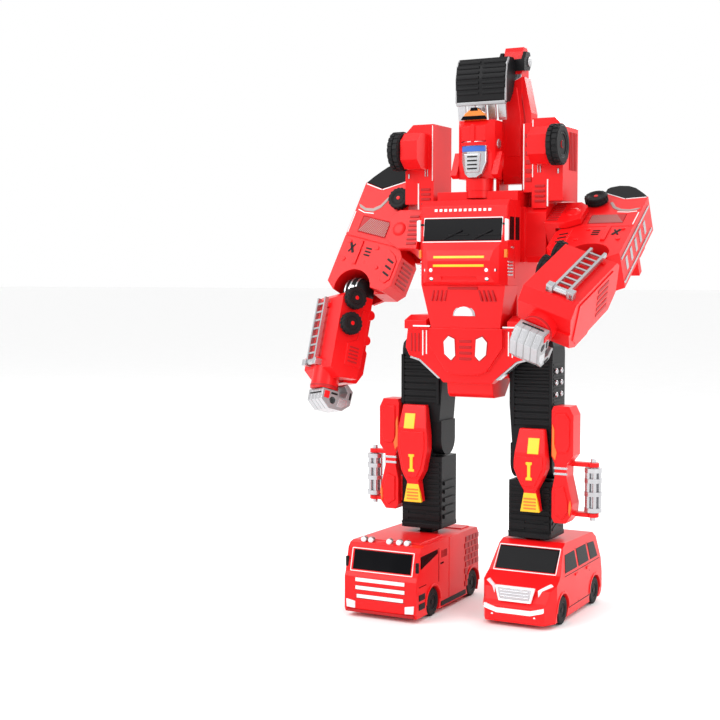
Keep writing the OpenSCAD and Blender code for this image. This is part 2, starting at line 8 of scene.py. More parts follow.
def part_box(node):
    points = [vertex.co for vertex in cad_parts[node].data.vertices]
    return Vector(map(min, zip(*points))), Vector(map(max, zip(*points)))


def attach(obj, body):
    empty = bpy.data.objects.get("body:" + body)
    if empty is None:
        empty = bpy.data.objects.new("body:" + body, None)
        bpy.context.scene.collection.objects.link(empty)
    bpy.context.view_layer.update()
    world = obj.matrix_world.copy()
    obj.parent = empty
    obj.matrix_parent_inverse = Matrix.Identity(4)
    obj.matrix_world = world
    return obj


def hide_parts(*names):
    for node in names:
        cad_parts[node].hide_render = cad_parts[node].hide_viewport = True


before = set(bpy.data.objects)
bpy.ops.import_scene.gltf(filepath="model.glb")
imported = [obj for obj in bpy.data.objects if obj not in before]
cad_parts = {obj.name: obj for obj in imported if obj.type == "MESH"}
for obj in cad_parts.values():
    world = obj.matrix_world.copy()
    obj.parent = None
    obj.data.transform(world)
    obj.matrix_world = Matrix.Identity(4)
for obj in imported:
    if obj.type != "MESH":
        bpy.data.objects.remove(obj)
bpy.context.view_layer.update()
scene = bpy.context.scene
scene.view_settings.view_transform = "Standard"


# ---------- frames, in millimetres, as the CAD builds them ----------

def move(x, y, z):
    return Matrix.Translation((x, y, z))


def turn(axis, degrees):
    return Matrix.Rotation(radians(degrees), 4, axis)


def middle(node, axis):
    low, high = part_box(node)
    return (low[axis] + high[axis]) * 500


TRUCK = "foot_truck"
VAN = "foot_suv"
TRUCK_X = -44.0    # middle of the truck
VAN_X = 44.0    # middle of the van
TRUCK_HALF = 27.3    # half widths
VAN_HALF = 26.2
TRUCK_NOSE = 62.8    # how far the truck's front is ahead of the reference point
TRUCK_AXLES = (-35.8, 32.0)    # front and rear, along Y
VAN_AXLES = (-16.0, 50.5)
FOOT_WHEEL_R = 9.7
FOOT_WHEEL_W = 8.0

PLACE_X = middle("suv_body", 0) - VAN_X
PLACE_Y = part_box("truck_body")[0][1] * 1000 + TRUCK_NOSE
BASE = move(PLACE_X, PLACE_Y, 0)
MIRROR = Matrix.Diagonal((-1, 1, 1, 1))
SIDES = ((-1, "left"), (1, "right"))
POSE = {-1: (19, 14, 13, 60), 1: (60, 1, 13, 74)}   # swing, tilt, elbow bend, forearm turn
ARM_PIVOT = (44.4, 13, -29.5)
ELBOW = (22, 11.5, -80)
FORE_PIVOT = (20.2, 14, 0)


def side(s):
    """The left half's frame, x < 0, mirrored for the right half."""
    return BASE @ (MIRROR if s > 0 else Matrix.Identity(4))


def yoke_frame(s):
    return side(s) @ move(-64, 23, 261.5) @ turn("X", -POSE[s][0])


def arm_frame(s):
    return yoke_frame(s) @ turn("Y", POSE[s][1]) @ move(*[-v for v in ARM_PIVOT])


def ball_frame(s):
    return arm_frame(s) @ move(*ELBOW) @ turn("Y", -POSE[s][2])


def fore_frame(s):
    return ball_frame(s) @ turn("Z", POSE[s][3]) @ move(*[-v for v in FORE_PIVOT])


# ---------- materials ----------

def node_of(mat, kind, **values):
    n = mat.node_tree.nodes.new(kind)
    for key, value in values.items():
        if hasattr(n, key):
            setattr(n, key, value)
        else:
            n.inputs[key.replace("_", " ")].default_value = value
    return n


def plastic(name, color, rough, metallic=0.0, grain=900.0, bump=0.02, shade=0.12, coat=0.0, specular=0.5):
    """Moulded plastic: slow colour drift, uneven gloss and a fine moulded grain."""
    mat = bpy.data.materials.new(name)
    mat.use_nodes = True
    tree = mat.node_tree
    shader = tree.nodes["Principled BSDF"]
    shader.inputs["Metallic"].default_value = metallic
    shader.inputs["Coat Weight"].default_value = coat
    shader.inputs["Coat Roughness"].default_value = 0.08
    shader.inputs["Specular IOR Level"].default_value = specular
    coords = node_of(mat, "ShaderNodeTexCoord")
    slow = node_of(mat, "ShaderNodeTexNoise", Scale=22.0, Detail=3.0)
    ramp = node_of(mat, "ShaderNodeValToRGB")
    ramp.color_ramp.elements[0].position = 0.3
    ramp.color_ramp.elements[1].position = 0.75
    ramp.color_ramp.elements[0].color = (*[c * (1 - shade) for c in color], 1)
    ramp.color_ramp.elements[1].color = (*[min(1, c * (1 + shade * 0.5) + 0.004) for c in color], 1)
    fine = node_of(mat, "ShaderNodeTexNoise", Scale=grain, Detail=2.0)
    gloss = node_of(mat, "ShaderNodeMapRange")
    gloss.inputs["To Min"].default_value = rough[0]
    gloss.inputs["To Max"].default_value = rough[1]
    relief = node_of(mat, "ShaderNodeBump", Strength=bump * 10, Distance=0.00012)
    for noise in (slow, fine):
        tree.links.new(coords.outputs["Object"], noise.inputs["Vector"])
    tree.links.new(slow.outputs["Fac"], ramp.inputs["Fac"])
    tree.links.new(ramp.outputs["Color"], shader.inputs["Base Color"])
    tree.links.new(slow.outputs["Fac"], gloss.inputs["Value"])
    tree.links.new(gloss.outputs["Result"], shader.inputs["Roughness"])
    tree.links.new(fine.outputs["Fac"], relief.inputs["Height"])
    tree.links.new(relief.outputs["Normal"], shader.inputs["Normal"])
    return mat


RED = plastic("red gloss", (0.8, 0.006, 0.008), (0.24, 0.36), coat=0.03, shade=0.1, specular=0.22)
# A darker copy of the red plastic with a coarser grain; the darkness is painted shade, used on vents,
# grooves, ribs and rims.
PAINTED_SHADE_RED = plastic("red textured", (0.46, 0.005, 0.008), (0.34, 0.5), bump=0.05, shade=0.2, specular=0.3)
BLACK = plastic("black gloss", (0.002, 0.002, 0.003), (0.07, 0.16), specular=0.06)
SATIN = plastic("black satin", (0.007, 0.007, 0.008), (0.34, 0.5), bump=0.06, specular=0.14)
TYRE = plastic("tyre black", (0.007, 0.007, 0.008), (0.5, 0.7), grain=1500, bump=0.08, specular=0.2)
SILVER = plastic("silver plated", (0.55, 0.55, 0.57), (0.18, 0.32), metallic=0.85, shade=0.18)
# A darker copy of the silver plastic: painted shade.
PAINTED_SHADE_SILVER = plastic("silver grey", (0.34, 0.34, 0.35), (0.26, 0.4), metallic=0.5, shade=0.18)
# A darker, reddish copy of the silver plastic: painted shade.
PAINTED_SHADE_WARM_SILVER = plastic("smoke grey", (0.36, 0.27, 0.25), (0.35, 0.5), shade=0.2)
WHITE = plastic("white", (0.85, 0.85, 0.85), (0.25, 0.35))
YELLOW = plastic("yellow", (0.9, 0.55, 0.01), (0.25, 0.35))
AMBER = plastic("amber", (0.75, 0.2, 0.01), (0.15, 0.25), coat=0.4)
# Orange stands for painted light: a painted highlight on the lit red edges of the side pods, and painted
# shade on the yellow ribs of the knee shields.
PAINTED_LIGHT_ORANGE = plastic("orange", (0.85, 0.16, 0.01), (0.25, 0.35))
BLUE = plastic("blue window", (0.03, 0.12, 0.5), (0.12, 0.2), coat=0.4)
LENS = plastic("lamp lens", (0.8, 0.82, 0.85), (0.1, 0.18), coat=0.5)
GREEN = plastic("board green", (0.02, 0.16, 0.05), (0.35, 0.5))
WRAP = plastic("cell wrap", (0.03, 0.08, 0.35), (0.25, 0.4))
STEEL = plastic("screw steel", (0.55, 0.55, 0.56), (0.25, 0.4), metallic=1.0)
FLOOR = plastic("floor", (0.95, 0.95, 0.95), (0.6, 0.75), grain=60, shade=0.01, bump=0.0)


# ---------- pieces ----------


class Piece:
    """A mesh made of several solids in one local frame, in millimetres."""

    def __init__(self, name, body, mat, slot, where=BASE):
        self.name, self.body, self.mat, self.slot, self.where = name, body, mat, slot, where
        self.bm = bmesh.new()

    def solid(self, rings):
        """Skins rings of equal length; the first and last ring are capped."""
        made = [[self.bm.verts.new(p) for p in ring] for ring in rings]
        n = len(made[0])
        for a, b in zip(made, made[1:]):
            for i in range(n):
                self.bm.faces.new((a[i], a[(i + 1) % n], b[(i + 1) % n], b[i]))
        self.bm.faces.new(list(reversed(made[0])))
        self.bm.faces.new(made[-1])
        return self

    def prism(self, axis, points, low, high, where=None):
        """A polygon in the two other axes, in X, Y, Z order, thick along axis."""
        spot = "XYZ".index(axis)

        def put(p, level):
            full = [p[0], p[1]]
            full.insert(spot, level)
            return where @ Vector(full) if where else Vector(full)

        return self.solid([[put(p, low) for p in points], [put(p, high) for p in points]])

    def box(self, low, high, where=None):
        return self.prism("Z", [(low[0], low[1]), (high[0], low[1]), (high[0], high[1]), (low[0], high[1])],
                          low[2], high[2], where)

    def lathe(self, axis, centre, profile, steps):
        """Turns (radius, level) points about axis; the ends are capped."""
        spot = "XYZ".index(axis)
        rings = []
        for radius, level in profile:
            ring = []
            for i in range(steps):
                a = 2 * pi * i / steps
                p = [radius * cos(a), radius * sin(a)]
                p.insert(spot, level)
                ring.append(Vector(p) + Vector(centre))
            rings.append(ring)
        return self.solid(rings)

    def done(self, bevel, steps=2, angle=35):
        """Makes the bevelled object in metres, riding on its body."""
        m = Matrix.Scale(0.001, 4) @ self.where
        self.bm.transform(m)
        bmesh.ops.recalc_face_normals(self.bm, faces=self.bm.faces)
        mesh = bpy.data.meshes.new(self.name)
        self.bm.to_mesh(mesh)
        self.bm.free()
        for p in mesh.polygons:
            p.use_smooth = True
        obj = bpy.data.objects.new(self.name, mesh)
        scene.collection.objects.link(obj)
        mesh.materials.append(self.mat)
        soften(obj, bevel, steps, angle)
        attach(obj, self.body)
        return obj


def soften(obj, width, steps, angle):
    """Rounds the edges by width millimetres and evens the shading."""
    if width:
        bevel = obj.modifiers.new("bevel", "BEVEL")
        bevel.width = width * 0.001
        bevel.segments = steps
        bevel.limit_method = "ANGLE"
        bevel.angle_limit = radians(angle)
        bevel.use_clamp_overlap = True
    normals = obj.modifiers.new("normals", "WEIGHTED_NORMAL")
    normals.keep_sharp = True


def circle(r, cx, cy, steps):
    return [(cx + r * cos(2 * pi * i / steps), cy + r * sin(2 * pi * i / steps)) for i in range(steps)]


def across(s, a, b):
    """The low and high x of a stretch from a to b out from the middle, on side s."""
    return sorted((s * a, s * b))


def bar(a, b, width):
    """A thin strip between two points of a drawing."""
    a, b = Vector(a), Vector(b)
    n = (b - a).normalized() * width / 2
    n = Vector((-n.y, n.x))
    return [tuple(a + n), tuple(a - n), tuple(b - n), tuple(b + n)]


# ---------- CAD nodes that stay ----------

STAYING = {
    RED: ["torso_frame", "cab_shell", "belly_panel", "back_cover", "battery_door", "pelvis_shell",
          "head_helmet", "boom_arm", "shoulder_yoke", "upper_arm", "forearm", "knee_shield", "side_pod",
          "truck_body", "suv_body"],
    BLACK: ["cab_windscreen", "arm_windscreen", "truck_windscreen", "suv_windscreen"],
    SATIN: ["bucket_shell", "power_switch", "speaker", "elbow_ball", "thigh", "shin"],
    SILVER: ["face_plate", "bucket_teeth", "blaster", "ladder"],
    # The fist and the gearbox take the darker silver, which is painted shade.
    PAINTED_SHADE_SILVER: ["fist", "transform_gearbox"],
    AMBER: ["head_crest"], WRAP: ["battery_pack"], GREEN: ["circuit_board"], STEEL: ["case_screws"],
    TYRE: ["tower_wheel", "arm_wheel", "fore_wheel", "truck_front_axle", "truck_rear_axle", "suv_front_axle",
           "suv_rear_axle"],
}
SHARP = {"case_screws": 0.15, "bucket_teeth": 0.35, "ladder": 0.3, "blaster": 0.3, "circuit_board": 0.1}

for mat, stems in STAYING.items():
    for name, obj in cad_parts.items():
        stem = name.replace("_left", "").replace("_right", "").replace("_upper", "").replace("_lower", "")
        if name in stems or stem in stems:
            obj.data.materials.clear()
            obj.data.materials.append(mat)
            weld = obj.modifiers.new("weld", "WELD")
            weld.merge_threshold = 0.00001
            flat = obj.modifiers.new("flat", "DECIMATE")
            flat.decimate_type = "DISSOLVE"
            flat.angle_limit = radians(0.6)
            soften(obj, SHARP.get(stem, 0.7), 3, 30)


# ---------- wheels ----------

def wheel(name, node, hub_mat, hub_slot, parts, r, w, where, tread, spokes):
    """Tyres and dished hubs about X, on the body that has the node's name.

    Each entry of parts is (start x, y, z, outward side); r and w are the radius and the width.
    """
    tyre = Piece(name + "_tyre", node, TYRE, "tyre_black", where)
    dish = Piece(name + "_dish", node, SATIN, "black_plastic", where)
    hub = Piece(name + "_hub", node, hub_mat, hub_slot, where)
    groove = w * 0.07
    body_r = r - r * 0.045
    for x0, y, z, out in parts:
        tyre.lathe("X", (x0, y, z), [
            (r * 0.58, w * 0.1), (r * 0.66, 0.0), (r * 0.9, 0.0), (body_r, w * 0.12),
            (body_r, w * 0.5 - groove), (body_r * 0.95, w * 0.5), (body_r, w * 0.5 + groove),
            (body_r, w * 0.88), (r * 0.9, w), (r * 0.66, w), (r * 0.58, w * 0.9)], 48)
        for i in range(tread):
            for half in (0, 1):
                a = 2 * pi * (i + half * 0.5) / tread
                m = move(x0, y, z) @ Matrix.Rotation(a, 4, "X")
                low = w * (0.06 + 0.49 * half)
                tyre.box((low, body_r - r * 0.04, -r * 0.1), (low + w * 0.39, r, r * 0.1), m)
        face, back = (0.04, 0.9) if out < 0 else (0.96, 0.1)
        at = [w * face, w * (face * 0.8 + back * 0.2), w * back]
        dish.lathe("X", (x0, y, z), [
            (r * 0.59, at[2]), (r * 0.6, at[0]), (r * 0.52, at[0]), (r * 0.48, at[1]), (r * 0.1, at[1])], 40)
        hub.lathe("X", (x0, y, z), [
            (r * 0.1, at[1]), (r * 0.2, at[1]), (r * 0.17, at[0]), (r * 0.1, at[0])], 24)
        for i in range(spokes):
            m = move(x0, y, z) @ Matrix.Rotation(2 * pi * i / spokes, 4, "X")
            low, high = sorted((at[1], w * (face * 0.93 + back * 0.07)))
            hub.box((low, r * 0.14, -r * 0.05), (high, r * 0.47, r * 0.05), m)
    made = tyre.done(0.2, 2)
    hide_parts(node)
    dish.done(0.15, 2)
    hub.done(0.15, 2)


for s, n in SIDES:
    wheel(f"tower_{n}", f"tower_wheel_{n}", SATIN, "black_plastic",
          [(-62.9, -3.5, 321.6, -1)], 13.8, 8.3, side(s), 20, 8)
    about_y = turn("Z", 90)
    for tag, node, spot, r, where in (
            ("arm", f"arm_wheel_{n}", (34.2, -7.3), 8.0, arm_frame(s)),
            ("fore_a", f"fore_wheel_upper_{n}", (8.4, -9.5), 8.2, fore_frame(s)),
            ("fore_b", f"fore_wheel_lower_{n}", (8.4, -28.5), 8.2, fore_frame(s))):
        wheel(f"{tag}_{n}", node, RED, "red_plastic", [(-6.0, 0, 0, -1)], r, 5.4,
              where @ move(spot[0], 0, spot[1]) @ about_y, 16, 5)

for node, cx, half, y in (
        ("truck_front_axle", TRUCK_X, TRUCK_HALF, TRUCK_AXLES[0]),
        ("truck_rear_axle", TRUCK_X, TRUCK_HALF, TRUCK_AXLES[1]),
        ("suv_front_axle", VAN_X, VAN_HALF, VAN_AXLES[0]),
        ("suv_rear_axle", VAN_X, VAN_HALF, VAN_AXLES[1])):
    inset = 0.3    # the tyres' outer faces lie this far inside the body's sides
    wheel(node + "_w", node, SATIN, "black_plastic",
          [(cx - half + inset, y, FOOT_WHEEL_R, -1), (cx + half - FOOT_WHEEL_W - inset, y, FOOT_WHEEL_R, 1)],
          FOOT_WHEEL_R, FOOT_WHEEL_W, BASE, 18, 8)
    rod = Piece(node + "_rod", node, STEEL, "screw_steel")
    rod.lathe("X", (cx, y, FOOT_WHEEL_R), [
        (1.0, -half + 2), (1.5, -half + 3), (1.5, half - 3), (1.0, half - 2)], 20)
    rod.done(0.0)


# ---------- chest ----------

def cab_y(z):
    """Front face of the cab at height z."""
    rows = [(227.3, -27.0), (229.5, -31.5), (234, -33.5), (244, -33.5), (251, -32),
            (258, -27.5), (271, -25.5), (281, -24.5), (285, -21)]
    for (z0, y0), (z1, y1) in zip(rows, rows[1:]):
        if z0 <= z <= z1:
            return y0 + (y1 - y0) * (z - z0) / (z1 - z0)
    return -21


def cab_strip(piece, x0, x1, z0, z1, proud=0.5):
    """A strip that follows the cab's front between two heights and stands proud of it."""
    sunk = 1.0
    levels = [z0 + (z1 - z0) * i / 4 for i in range(5)]
    outline = [(cab_y(z) - proud, z) for z in levels] + [(cab_y(z) + sunk, z) for z in reversed(levels)]
    piece.prism("X", outline, x0, x1)


stripes = Piece("cab_stripes", "torso", YELLOW, "yellow_paint")
cab_strip(stripes, -18.6, 18.6, 245.6, 247.2)
cab_strip(stripes, -18.6, 18.6, 239.8, 241.4)
stripes.done(0.2)

dashes = Piece("cab_dashes", "torso", WHITE, "white_paint")
for i in range(12):
    cab_strip(dashes, -21.4 + i * 3.6, -19.4 + i * 3.6, 277.4, 279.2, 0.4)
dashes.done(0.1)

lamps = Piece("cab_headlights", "torso", LENS, "lamp_lens")
bezels = Piece("cab_lamp_bezels", "torso", SATIN, "black_plastic")
for s in (-1, 1):
    for i, z in enumerate((232.2, 237.6)):
        for k in range(2):
            x = s * (20.4 + k * 4.6)
            y = cab_y(z) + max(0, (abs(x) - 18) * 0.44)
            lamps.lathe("Y", (x, y - 1.1, z), [(0.7, -0.2), (1.4, 0.1), (1.5, 0.7), (1.5, 2.4)], 20)
            bezels.lathe("Y", (x, y - 0.7, z), [(1.6, 0.0), (1.9, 0.1), (1.9, 2.4), (1.6, 2.5)], 20)
lamps.done(0.1)
bezels.done(0.0)

trim = Piece("cab_trim", "torso", WHITE, "white_paint")
for s in (-1, 1):
    trim.prism("X", [(-27.6, 256.6), (-26.9, 256.6), (-24.6, 273.2), (-25.5, 273.2)],
               s * 28.7 - 0.35, s * 28.7 + 0.35)
cab_strip(trim, -28.9, 28.9, 256.5, 257.1, 0.25)
cab_strip(trim, -28.9, 28.9, 272.7, 273.3, 0.3)
trim.done(0.1)

wipers = Piece("cab_wipers", "torso", SATIN, "black_plastic")
for x in (-14, 8):
    wipers.prism("Y", bar((x, 258.4), (x + 14, 264.5), 0.7), -28.6, -27.6)
    wipers.prism("Y", bar((x + 4, 261.5), (x + 19, 261.5), 0.8), -28.2, -27.4)
wipers.done(0.1)

mirrors = Piece("cab_mirrors", "torso", WHITE, "white_paint")
mirror_stalks = Piece("cab_mirror_stalks", "torso", SATIN, "black_plastic")
for s in (-1, 1):
    mirrors.prism("Y", [(s * 31.2, 257), (s * 33.6, 257.6), (s * 33.6, 271.4), (s * 31.2, 272)], -28.2, -25.6)
    x0, x1 = across(s, 29, 32)
    mirror_stalks.box((x0, -26.6, 268), (x1, -25.4, 269.2))
mirrors.done(0.4)
mirror_stalks.done(0.1)

cab_side = Piece("cab_side_windows", "torso", BLACK, "black_panel")
cab_lines = Piece("cab_side_fittings", "torso", SILVER, "silver_plastic")
for s in (-1, 1):
    x0, x1 = across(s, 31.4, 32.25)
    cab_side.prism("X", [(-22, 258), (-13.4, 258), (-13.4, 273.5), (-20.6, 273.5)], x0, x1)
    cab_side.prism("X", [(-10.6, 258), (-3.6, 258), (-3.6, 273.5), (-10.6, 273.5)], x0, x1)
    x0, x1 = across(s, 31.6, 32.7)
    cab_lines.box((x0, -18.4, 252.4), (x1, -13.8, 253.6))
    for k in range(5):
        cab_lines.box((x0, -24, 234 + k * 2.2), (x1, -16, 234.9 + k * 2.2))
cab_side.done(0.15)
cab_lines.done(0.15)

signals = Piece("cab_signals", "torso", AMBER, "amber_plastic")
for s in (-1, 1):
    x0, x1 = across(s, 30.4, 32.4)
    signals.box((x0, -27.2, 246), (x1, -24.6, 251.5))
signals.done(0.3)

# belly: a half-round lamp in its ring, and vents
lamp = Piece("belly_lamp", "torso", LENS, "lamp_lens")
ring = Piece("belly_lamp_ring", "torso", SILVER, "silver_plastic")
lamp_z = 206.4
dome = [(7.2 * cos(pi * i / 8), lamp_z + 6.6 * sin(pi * i / 8)) for i in range(9)]
lamp.prism("Y", dome, -24.8, -22.6)
lamp.done(0.9, 4, 25)
rim = [(x * 1.17, lamp_z + (z - lamp_z) * 1.17) for x, z in dome]
ring.prism("Y", rim, -23.6, -21.6)
ring.done(0.3)
# The belly vents take the darker red, which is painted shade.
vents = Piece("belly_vents", "torso", PAINTED_SHADE_RED, "red_plastic")
for s in (-1, 1):
    for k in range(4):
        vents.prism("Y", bar((s * (14 + k * 3.2), 216.5), (s * (12 + k * 3.2), 224), 1.3), -25.9, -23.4)
vents.box((-11, -26.5, 224.4), (11, -25.2, 226))
vents.done(0.2)

# ---------- towers and the plate beside the head ----------

tower_bits = Piece("tower_strips", "torso", SILVER, "silver_plastic")
tower_white = Piece("tower_lines", "torso", WHITE, "white_paint")
# The tower vents take the darker red, which is painted shade.
tower_dark = Piece("tower_vents", "torso", PAINTED_SHADE_RED, "red_plastic")
for s in (-1, 1):
    for a, b, z0, z1 in ((55.6, 56.6, 303, 306.4), (41.2, 41.7, 304, 318), (43.0, 43.6, 304, 309)):
        x0, x1 = across(s, a, b)
        tower_bits.box((x0, 5.5, z0), (x1, 6.9, z1))
    x0, x1 = across(s, 48.2, 49.0)
    tower_white.box((x0, 5.5, 281), (x1, 6.9, 299.4))
    x0, x1 = across(s, 37.4, 38.0)
    tower_white.box((x0, 5.6, 301), (x1, 6.9, 340))
    for k in range(5):
        x0, x1 = across(s, 58.6, 59.8)
        tower_dark.box((x0, 20 + k * 3, 306), (x1, 21.4 + k * 3, 332))
    for k in range(4):
        x0, x1 = across(s, 39.4, 46.6)
        tower_dark.box((x0, 5.4, 284 + k * 3.4), (x1, 6.6, 285.6 + k * 3.4))
tower_bits.done(0.2)
tower_white.done(0.12)
tower_dark.done(0.2)

boss = Piece("tower_boss_rings", "torso", SILVER, "silver_plastic")
for s in (-1, 1):
    boss.lathe("X", (s * 54.05, -3.5, 321.6), [(4.0, 0.0), (6.4, 0.0), (6.6, s * 0.3), (4.0, s * 0.35)], 32)
boss.done(0.0)

plate = Piece("side_plate_trim", "torso", WHITE, "white_paint")
plate.box((30.1, 7.5, 293), (30.9, 8.6, 337.6))
plate.done(0.1)
# The side plate's vents take the darker red, which is painted shade.
plate_dark = Piece("side_plate_vents", "torso", PAINTED_SHADE_RED, "red_plastic")
for k in range(6):
    plate_dark.box((31.8, 7.4, 298 + k * 6), (36.2, 8.6, 301 + k * 6))
plate_dark.done(0.3)

# ---------- hips ----------

hip_lamps = Piece("hip_lamps", "torso", WHITE, "white_paint")
# The rims round the hip lamps take the darker red, which is painted shade.
hip_lamp_rims = Piece("hip_lamp_rims", "torso", PAINTED_SHADE_RED, "red_plastic")
for s in (-1, 1):
    shape = [(7.4, 179), (10.5, 175.8), (15.4, 180), (16.2, 188.5), (12.6, 192.4), (8.0, 190.4)]
    hip_lamps.prism("Y", [(s * x, z) for x, z in shape], -21.6, -20.4)
    rim = [(11.8 + (x - 11.8) * 1.14, 184 + (z - 184) * 1.12) for x, z in shape]
    hip_lamp_rims.prism("Y", [(s * x, z) for x, z in rim], -21.3, -20.4)
hip_lamps.done(0.3)
hip_lamp_rims.done(0.2)

# The thin white bars down and across the hips are painted highlights.
hip_lines = Piece("hip_lines", "torso", WHITE, "white_paint")
# The hip grooves take the darker red, which is painted shade.
hip_dark = Piece("hip_grooves", "torso", PAINTED_SHADE_RED, "red_plastic")
for s in (-1, 1):
    hip_lines.prism("Y", bar((s * 30.6, 196), (s * 30.6, 179.5), 0.8), -18.5, -17.6)
    hip_lines.prism("Y", bar((s * 33.4, 196), (s * 33.4, 178.5), 0.8), -18.5, -17.6)
    hip_lines.prism("Y", bar((s * 27, 199), (s * 40, 199), 1.0), -20.6, -19.6)
    for k in range(3):
        hip_dark.prism("Y", bar((s * (36.6 + k * 2.8), 194), (s * (36.6 + k * 2.8), 181), 1.2), -18.5, -17.6)
for k in range(4):
    hip_dark.box((-4.6, -21.5, 176 + k * 4), (4.6, -20.5, 178 + k * 4))
hip_lines.done(0.1)
hip_dark.done(0.2)

skirt_edge = Piece("hip_edge", "torso", SILVER, "silver_plastic")
for s in (-1, 1):
    skirt_edge.prism("Y", bar((s * 43.6, 177.2), (s * 36.4, 175.2), 1.4), -17.4, -10)
    skirt_edge.prism("Y", bar((s * 36.4, 175.2), (s * 21.6, 163), 1.4), -17.4, -10)
skirt_edge.done(0.2)

# ---------- head ----------

# A plain robot face of its own: one band at half the head's height, evenly spaced slots below it,
# a straight ridge above it and round caps at the ears.
CHIN = 301.0
CROWN = 340.4
EYES = (CHIN + CROWN) / 2
visor = Piece("head_visor", "head", BLUE, "blue_window")
visor.prism("Z", [(-8.8, -8.2), (-4.2, -11.0), (4.2, -11.0), (8.8, -8.2), (8.8, -7), (-8.8, -7)],
            EYES - 2, EYES + 2)
visor.done(0.5, 3)
brow = Piece("head_brow", "head", RED, "red_plastic")
brow.prism("Z", [(-9.6, -8.4), (-4.4, -11.8), (4.4, -11.8), (9.6, -8.4), (9.6, -7), (-9.6, -7)],
           EYES + 2.2, EYES + 4.6)
brow.box((-1.4, -10.6, EYES + 4.6), (1.4, -9.0, CROWN - 3))
brow.done(0.4, 3)
face = Piece("head_mouth_plate", "head", SILVER, "silver_plastic")
face.prism("Y", [(-5, CHIN + 3.5), (5, CHIN + 3.5), (6.2, EYES - 3.4), (-6.2, EYES - 3.4)], -11.0, -9.2)
face.done(0.6, 3)
slots = Piece("head_mouth_slots", "head", SATIN, "black_plastic")
for k in range(4):
    slots.box((-3.6, -11.3, CHIN + 5.6 + k * 2.7), (3.6, -10.8, CHIN + 6.6 + k * 2.7))
slots.done(0.1)
ears = Piece("head_ear_caps", "head", SILVER, "silver_plastic")
for s in (-1, 1):
    ears.lathe("X", (s * 13.2, 4, EYES + 4), [(3.0, 0), (3.4, s * 0.3), (3.2, s * 0.9), (1.4, s * 1.2)], 28)
ears.done(0.0)

tip = Piece("head_crest_tip", "head", BLACK, "black_panel")
tip.prism("Y", [(-3.0, 346.6), (3.0, 346.6), (2.2, 348.9), (-2.2, 348.9)], -8.3, -1.4)
tip.prism("Y", [(-9.9, 340.6), (-8.3, 343.2), (8.3, 343.2), (9.9, 340.6)], -8.4, -7.9)
tip.done(0.2)

# ---------- boom and bucket ----------

ribs = Piece("bucket_ribs", "bucket", SATIN, "black_plastic")
for y, z in ((4.4, 355.4), (3.3, 359), (3.05, 362.6), (2.85, 366.2), (2.7, 369.8), (3.5, 373.4), (4.4, 377),
             (6.4, 380.6)):
    for x0, x1 in ((-17.9, -1.2), (1.2, 17.9)):
        ribs.box((x0, y - 0.9, z), (x1, y + 1.2, z + 1.9))
ribs.done(0.35)
# The bucket's edges take the darker silver, which is painted shade.
bucket_side = Piece("bucket_edges", "bucket", PAINTED_SHADE_SILVER, "silver_plastic")
for s in (-1, 1):
    x0, x1 = across(s, 17.9, 18.9)
    bucket_side.prism("X", [(2.9, 354), (5.0, 353.2), (4.6, 370), (6.6, 379), (10, 383.6), (8.6, 384.4),
                            (4.8, 379.6), (2.9, 370)], x0, x1)
bucket_side.box((-18.3, 2.9, 351.8), (18.3, 6.2, 354.2))
bucket_side.done(0.25)
bolts = Piece("bucket_bolts", "bucket", STEEL, "screw_steel")
bolts.lathe("X", (6.0, 29, 383), [(2.4, -0.8), (3.4, -0.5), (3.4, 0.0), (2.6, 0.1)], 24)
bolts.lathe("X", (25.9, 29, 383), [(2.6, -0.1), (3.4, 0.0), (3.4, 0.5), (2.4, 0.8)], 24)
bolts.done(0.0)

# The boom's vents and lines take the darker red, which is painted shade.
boom_dark = Piece("boom_vents", "boom", PAINTED_SHADE_RED, "red_plastic")
for k in range(7):
    boom_dark.box((11.6, 35.8, 312 + k * 9), (20.4, 37.0, 316 + k * 9))
for k in range(5):
    boom_dark.box((29.3, 26, 320 + k * 5), (30.0, 33, 322.4 + k * 5))
    boom_dark.box((7.8, 26, 320 + k * 5), (8.4, 33, 322.4 + k * 5))
boom_dark.prism("Y", bar((25.2, 319), (25.2, 343), 0.9), 22.9, 23.8)
boom_dark.prism("Y", bar((25.2, 343), (21.6, 366), 0.9), 22.9, 23.8)
boom_dark.done(0.3)
panel = Piece("boom_panels", "boom", RED, "red_plastic")
panel.prism("Y", [(10.4, 317), (22.6, 317), (22.6, 344), (19.4, 365), (11.8, 365), (10.4, 348)], 22.0, 23.8)
panel.done(0.6, 3)
bracket = Piece("boom_bracket", "boom", SILVER, "silver_plastic")
bracket.prism("Y", [(9.0, 366.4), (14.6, 366.4), (16.4, 369), (22.6, 371.6), (22.6, 374), (9.3, 374)],
              22.1, 23.9)
bracket.lathe("Y", (12.2, 21.9, 370.2), [(0.9, -0.3), (1.6, 0.0), (1.6, 0.6), (1.6, 1.0)], 20)
bracket.done(0.3)

# ---------- arms ----------

